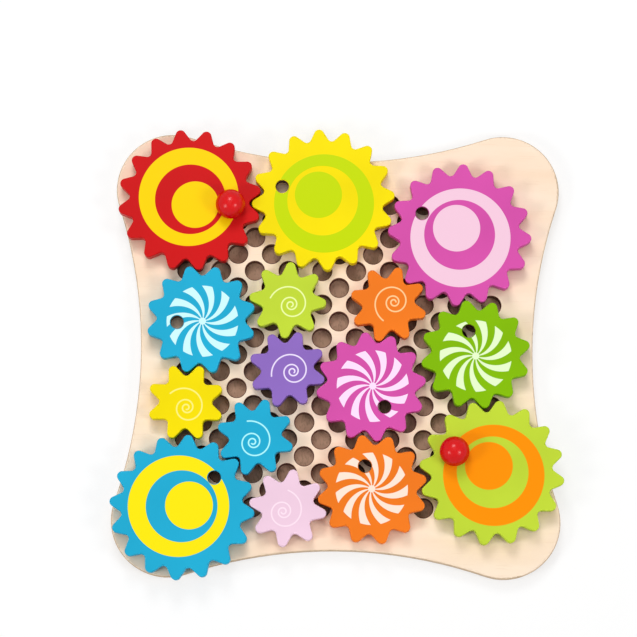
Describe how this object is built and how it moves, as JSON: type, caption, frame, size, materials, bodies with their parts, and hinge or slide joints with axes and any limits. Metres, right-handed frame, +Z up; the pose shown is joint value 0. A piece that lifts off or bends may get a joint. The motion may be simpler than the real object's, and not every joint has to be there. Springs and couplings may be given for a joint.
{
  "type": "wooden crank gear toy",
  "caption": "Square wooden peg board with hollow sides that carries meshed painted gears on pegs, turned by two ball crank knobs.",
  "frame": {"origin": "the board's flat underside, straight below the middle peg hole", "axes": "+Z up out of the board's face, +Y towards the far side of the board as pictured, +X to the right"},
  "size_m": [0.304, 0.3064, 0.0414],
  "materials": {
    "backing_board": "smooth brown hardboard",
    "bare_plywood": "sanded pale birch plywood with a thin matt lacquer",
    "turned_wood": "turned beech, sanded",
    "red_paint": "plywood under red paint with a satin lacquer and a screen-printed pattern",
    "yellow_paint": "plywood under yellow paint with a satin lacquer and a screen-printed pattern",
    "magenta_paint": "plywood under magenta paint with a satin lacquer and a screen-printed pattern",
    "blue_paint": "plywood under blue paint with a satin lacquer and a screen-printed pattern",
    "lime_paint": "plywood under lime paint with a satin lacquer and a screen-printed pattern",
    "green_paint": "plywood under green paint with a satin lacquer and a screen-printed pattern",
    "orange_paint": "plywood under orange paint with a satin lacquer and a screen-printed pattern",
    "purple_paint": "plywood under purple paint with a satin lacquer and a screen-printed pattern",
    "pink_paint": "plywood under pink paint with a satin lacquer and a screen-printed pattern",
    "knob_gloss": "turned hardwood under glossy red lacquer"
  },
  "bodies": {
    "board": {"base_panel": "backing_board", "peg_panel": "bare_plywood"},
    "large_red_peg": {"large_red_peg": "turned_wood"},
    "large_red_gear": {"large_red_gear": "red_paint"},
    "large_yellow_peg": {"large_yellow_peg": "turned_wood"},
    "large_yellow_gear": {"large_yellow_gear": "yellow_paint"},
    "large_magenta_peg": {"large_magenta_peg": "turned_wood"},
    "large_magenta_gear": {"large_magenta_gear": "magenta_paint"},
    "large_blue_peg": {"large_blue_peg": "turned_wood"},
    "large_blue_gear": {"large_blue_gear": "blue_paint"},
    "large_lime_peg": {"large_lime_peg": "turned_wood"},
    "large_lime_gear": {"large_lime_gear": "lime_paint"},
    "medium_blue_peg": {"medium_blue_peg": "turned_wood"},
    "medium_blue_gear": {"medium_blue_gear": "blue_paint"},
    "medium_green_peg": {"medium_green_peg": "turned_wood"},
    "medium_green_gear": {"medium_green_gear": "green_paint"},
    "medium_magenta_peg": {"medium_magenta_peg": "turned_wood"},
    "medium_magenta_gear": {"medium_magenta_gear": "magenta_paint"},
    "medium_orange_peg": {"medium_orange_peg": "turned_wood"},
    "medium_orange_gear": {"medium_orange_gear": "orange_paint"},
    "small_lime_peg": {"small_lime_peg": "turned_wood"},
    "small_lime_gear": {"small_lime_gear": "lime_paint"},
    "small_orange_peg": {"small_orange_peg": "turned_wood"},
    "small_orange_gear": {"small_orange_gear": "orange_paint"},
    "small_purple_peg": {"small_purple_peg": "turned_wood"},
    "small_purple_gear": {"small_purple_gear": "purple_paint"},
    "small_yellow_peg": {"small_yellow_peg": "turned_wood"},
    "small_yellow_gear": {"small_yellow_gear": "yellow_paint"},
    "small_blue_peg": {"small_blue_peg": "turned_wood"},
    "small_blue_gear": {"small_blue_gear": "blue_paint"},
    "small_pink_peg": {"small_pink_peg": "turned_wood"},
    "small_pink_gear": {"small_pink_gear": "pink_paint"},
    "large_red_knob_stem": {"large_red_knob_stem": "turned_wood"},
    "large_red_knob_ball": {"large_red_knob_ball": "knob_gloss"},
    "large_lime_knob_stem": {"large_lime_knob_stem": "turned_wood"},
    "large_lime_knob_ball": {"large_lime_knob_ball": "knob_gloss"}
  },
  "joints": [
    {"name": "large_red_lift", "type": "slide", "parent": "board", "child": "large_red_peg", "axis": [0, 0, 1], "range_m": [0, 0.012]},
    {"name": "large_red_spin", "type": "hinge", "parent": "large_red_peg", "child": "large_red_gear", "pos_m": [-0.10207, 0.10416, 0.0182], "axis": [0, 0, 1], "continuous": true},
    {"name": "large_yellow_lift", "type": "slide", "parent": "board", "child": "large_yellow_peg", "axis": [0, 0, 1], "range_m": [0, 0.012]},
    {"name": "large_yellow_spin", "type": "hinge", "parent": "large_yellow_peg", "child": "large_yellow_gear", "pos_m": [-0.01121, 0.10483, 0.0182], "axis": [0, 0, 1], "continuous": true},
    {"name": "large_magenta_lift", "type": "slide", "parent": "board", "child": "large_magenta_peg", "axis": [0, 0, 1], "range_m": [0, 0.012]},
    {"name": "large_magenta_spin", "type": "hinge", "parent": "large_magenta_peg", "child": "large_magenta_gear", "pos_m": [0.08145, 0.08135, 0.0182], "axis": [0, 0, 1], "continuous": true},
    {"name": "large_blue_lift", "type": "slide", "parent": "board", "child": "large_blue_peg", "axis": [0, 0, 1], "range_m": [0, 0.012]},
    {"name": "large_blue_spin", "type": "hinge", "parent": "large_blue_peg", "child": "large_blue_gear", "pos_m": [-0.10426, -0.10464, 0.0182], "axis": [0, 0, 1], "continuous": true},
    {"name": "large_lime_lift", "type": "slide", "parent": "board", "child": "large_lime_peg", "axis": [0, 0, 1], "range_m": [0, 0.012]},
    {"name": "large_lime_spin", "type": "hinge", "parent": "large_lime_peg", "child": "large_lime_gear", "pos_m": [0.10303, -0.08002, 0.0182], "axis": [0, 0, 1], "continuous": true},
    {"name": "medium_blue_lift", "type": "slide", "parent": "board", "child": "medium_blue_peg", "axis": [0, 0, 1], "range_m": [0, 0.012]},
    {"name": "medium_blue_spin", "type": "hinge", "parent": "medium_blue_peg", "child": "medium_blue_gear", "pos_m": [-0.09314, 0.02224, 0.0182], "axis": [0, 0, 1], "continuous": true},
    {"name": "medium_green_lift", "type": "slide", "parent": "board", "child": "medium_green_peg", "axis": [0, 0, 1], "range_m": [0, 0.012]},
    {"name": "medium_green_spin", "type": "hinge", "parent": "medium_green_peg", "child": "medium_green_gear", "pos_m": [0.09219, -0.00019, 0.0182], "axis": [0, 0, 1], "continuous": true},
    {"name": "medium_magenta_lift", "type": "slide", "parent": "board", "child": "medium_magenta_peg", "axis": [0, 0, 1], "range_m": [0, 0.012]},
    {"name": "medium_magenta_spin", "type": "hinge", "parent": "medium_magenta_peg", "child": "medium_magenta_gear", "pos_m": [0.02195, -0.02271, 0.0182], "axis": [0, 0, 1], "continuous": true},
    {"name": "medium_orange_lift", "type": "slide", "parent": "board", "child": "medium_orange_peg", "axis": [0, 0, 1], "range_m": [0, 0.012]},
    {"name": "medium_orange_spin", "type": "hinge", "parent": "medium_orange_peg", "child": "medium_orange_gear", "pos_m": [0.0229, -0.09181, 0.0182], "axis": [0, 0, 1], "continuous": true},
    {"name": "small_lime_lift", "type": "slide", "parent": "board", "child": "small_lime_peg", "axis": [0, 0, 1], "range_m": [0, 0.012]},
    {"name": "small_lime_spin", "type": "hinge", "parent": "small_lime_peg", "child": "small_lime_gear", "pos_m": [-0.03469, 0.03574, 0.0182], "axis": [0, 0, 1], "continuous": true},
    {"name": "small_orange_lift", "type": "slide", "parent": "board", "child": "small_orange_peg", "axis": [0, 0, 1], "range_m": [0, 0.012]},
    {"name": "small_orange_spin", "type": "hinge", "parent": "small_orange_peg", "child": "small_orange_gear", "pos_m": [0.03336, 0.03336, 0.0182], "axis": [0, 0, 1], "continuous": true},
    {"name": "small_purple_lift", "type": "slide", "parent": "board", "child": "small_purple_peg", "axis": [0, 0, 1], "range_m": [0, 0.012]},
    {"name": "small_purple_spin", "type": "hinge", "parent": "small_purple_peg", "child": "small_purple_gear", "pos_m": [-0.0345, -0.01112, 0.0182], "axis": [0, 0, 1], "continuous": true},
    {"name": "small_yellow_lift", "type": "slide", "parent": "board", "child": "small_yellow_peg", "axis": [0, 0, 1], "range_m": [0, 0.012]},
    {"name": "small_yellow_spin", "type": "hinge", "parent": "small_yellow_peg", "child": "small_yellow_gear", "pos_m": [-0.10274, -0.03393, 0.0182], "axis": [0, 0, 1], "continuous": true},
    {"name": "small_blue_lift", "type": "slide", "parent": "board", "child": "small_blue_peg", "axis": [0, 0, 1], "range_m": [0, 0.012]},
    {"name": "small_blue_spin", "type": "hinge", "parent": "small_blue_peg", "child": "small_blue_gear", "pos_m": [-0.05566, -0.05712, 0.0182], "axis": [0, 0, 1], "continuous": true},
    {"name": "small_pink_lift", "type": "slide", "parent": "board", "child": "small_pink_peg", "axis": [0, 0, 1], "range_m": [0, 0.012]},
    {"name": "small_pink_spin", "type": "hinge", "parent": "small_pink_peg", "child": "small_pink_gear", "pos_m": [-0.03345, -0.1047, 0.0182], "axis": [0, 0, 1], "continuous": true},
    {"name": "large_red_knob_lift", "type": "slide", "parent": "large_red_gear", "child": "large_red_knob_stem", "axis": [0, 0, 1], "range_m": [0, 0.012]},
    {"name": "large_red_knob_turn", "type": "hinge", "parent": "large_red_knob_stem", "child": "large_red_knob_ball", "pos_m": [-0.07386, 0.09979, 0.0314], "axis": [0, 0, 1], "continuous": true},
    {"name": "large_lime_knob_lift", "type": "slide", "parent": "large_lime_gear", "child": "large_lime_knob_stem", "axis": [0, 0, 1], "range_m": [0, 0.012]},
    {"name": "large_lime_knob_turn", "type": "hinge", "parent": "large_lime_knob_stem", "child": "large_lime_knob_ball", "pos_m": [0.0776, -0.06664, 0.0314], "axis": [0, 0, 1], "continuous": true}
  ],
  "couplings": [
    {"joint": "large_yellow_spin", "follows": "large_red_spin", "ratio": -1},
    {"joint": "large_magenta_spin", "follows": "large_red_spin", "ratio": 1},
    {"joint": "large_blue_spin", "follows": "large_red_spin", "ratio": -1},
    {"joint": "large_lime_spin", "follows": "large_red_spin", "ratio": 1},
    {"joint": "medium_blue_spin", "follows": "large_red_spin", "ratio": -1.3333},
    {"joint": "medium_green_spin", "follows": "large_red_spin", "ratio": -1.3333},
    {"joint": "medium_magenta_spin", "follows": "large_red_spin", "ratio": 1.3333},
    {"joint": "medium_orange_spin", "follows": "large_red_spin", "ratio": -1.3333},
    {"joint": "small_lime_spin", "follows": "large_red_spin", "ratio": 2},
    {"joint": "small_orange_spin", "follows": "large_red_spin", "ratio": -2},
    {"joint": "small_purple_spin", "follows": "large_red_spin", "ratio": -2},
    {"joint": "small_yellow_spin", "follows": "large_red_spin", "ratio": 2},
    {"joint": "small_blue_spin", "follows": "large_red_spin", "ratio": 2},
    {"joint": "small_pink_spin", "follows": "large_red_spin", "ratio": 2}
  ]
}
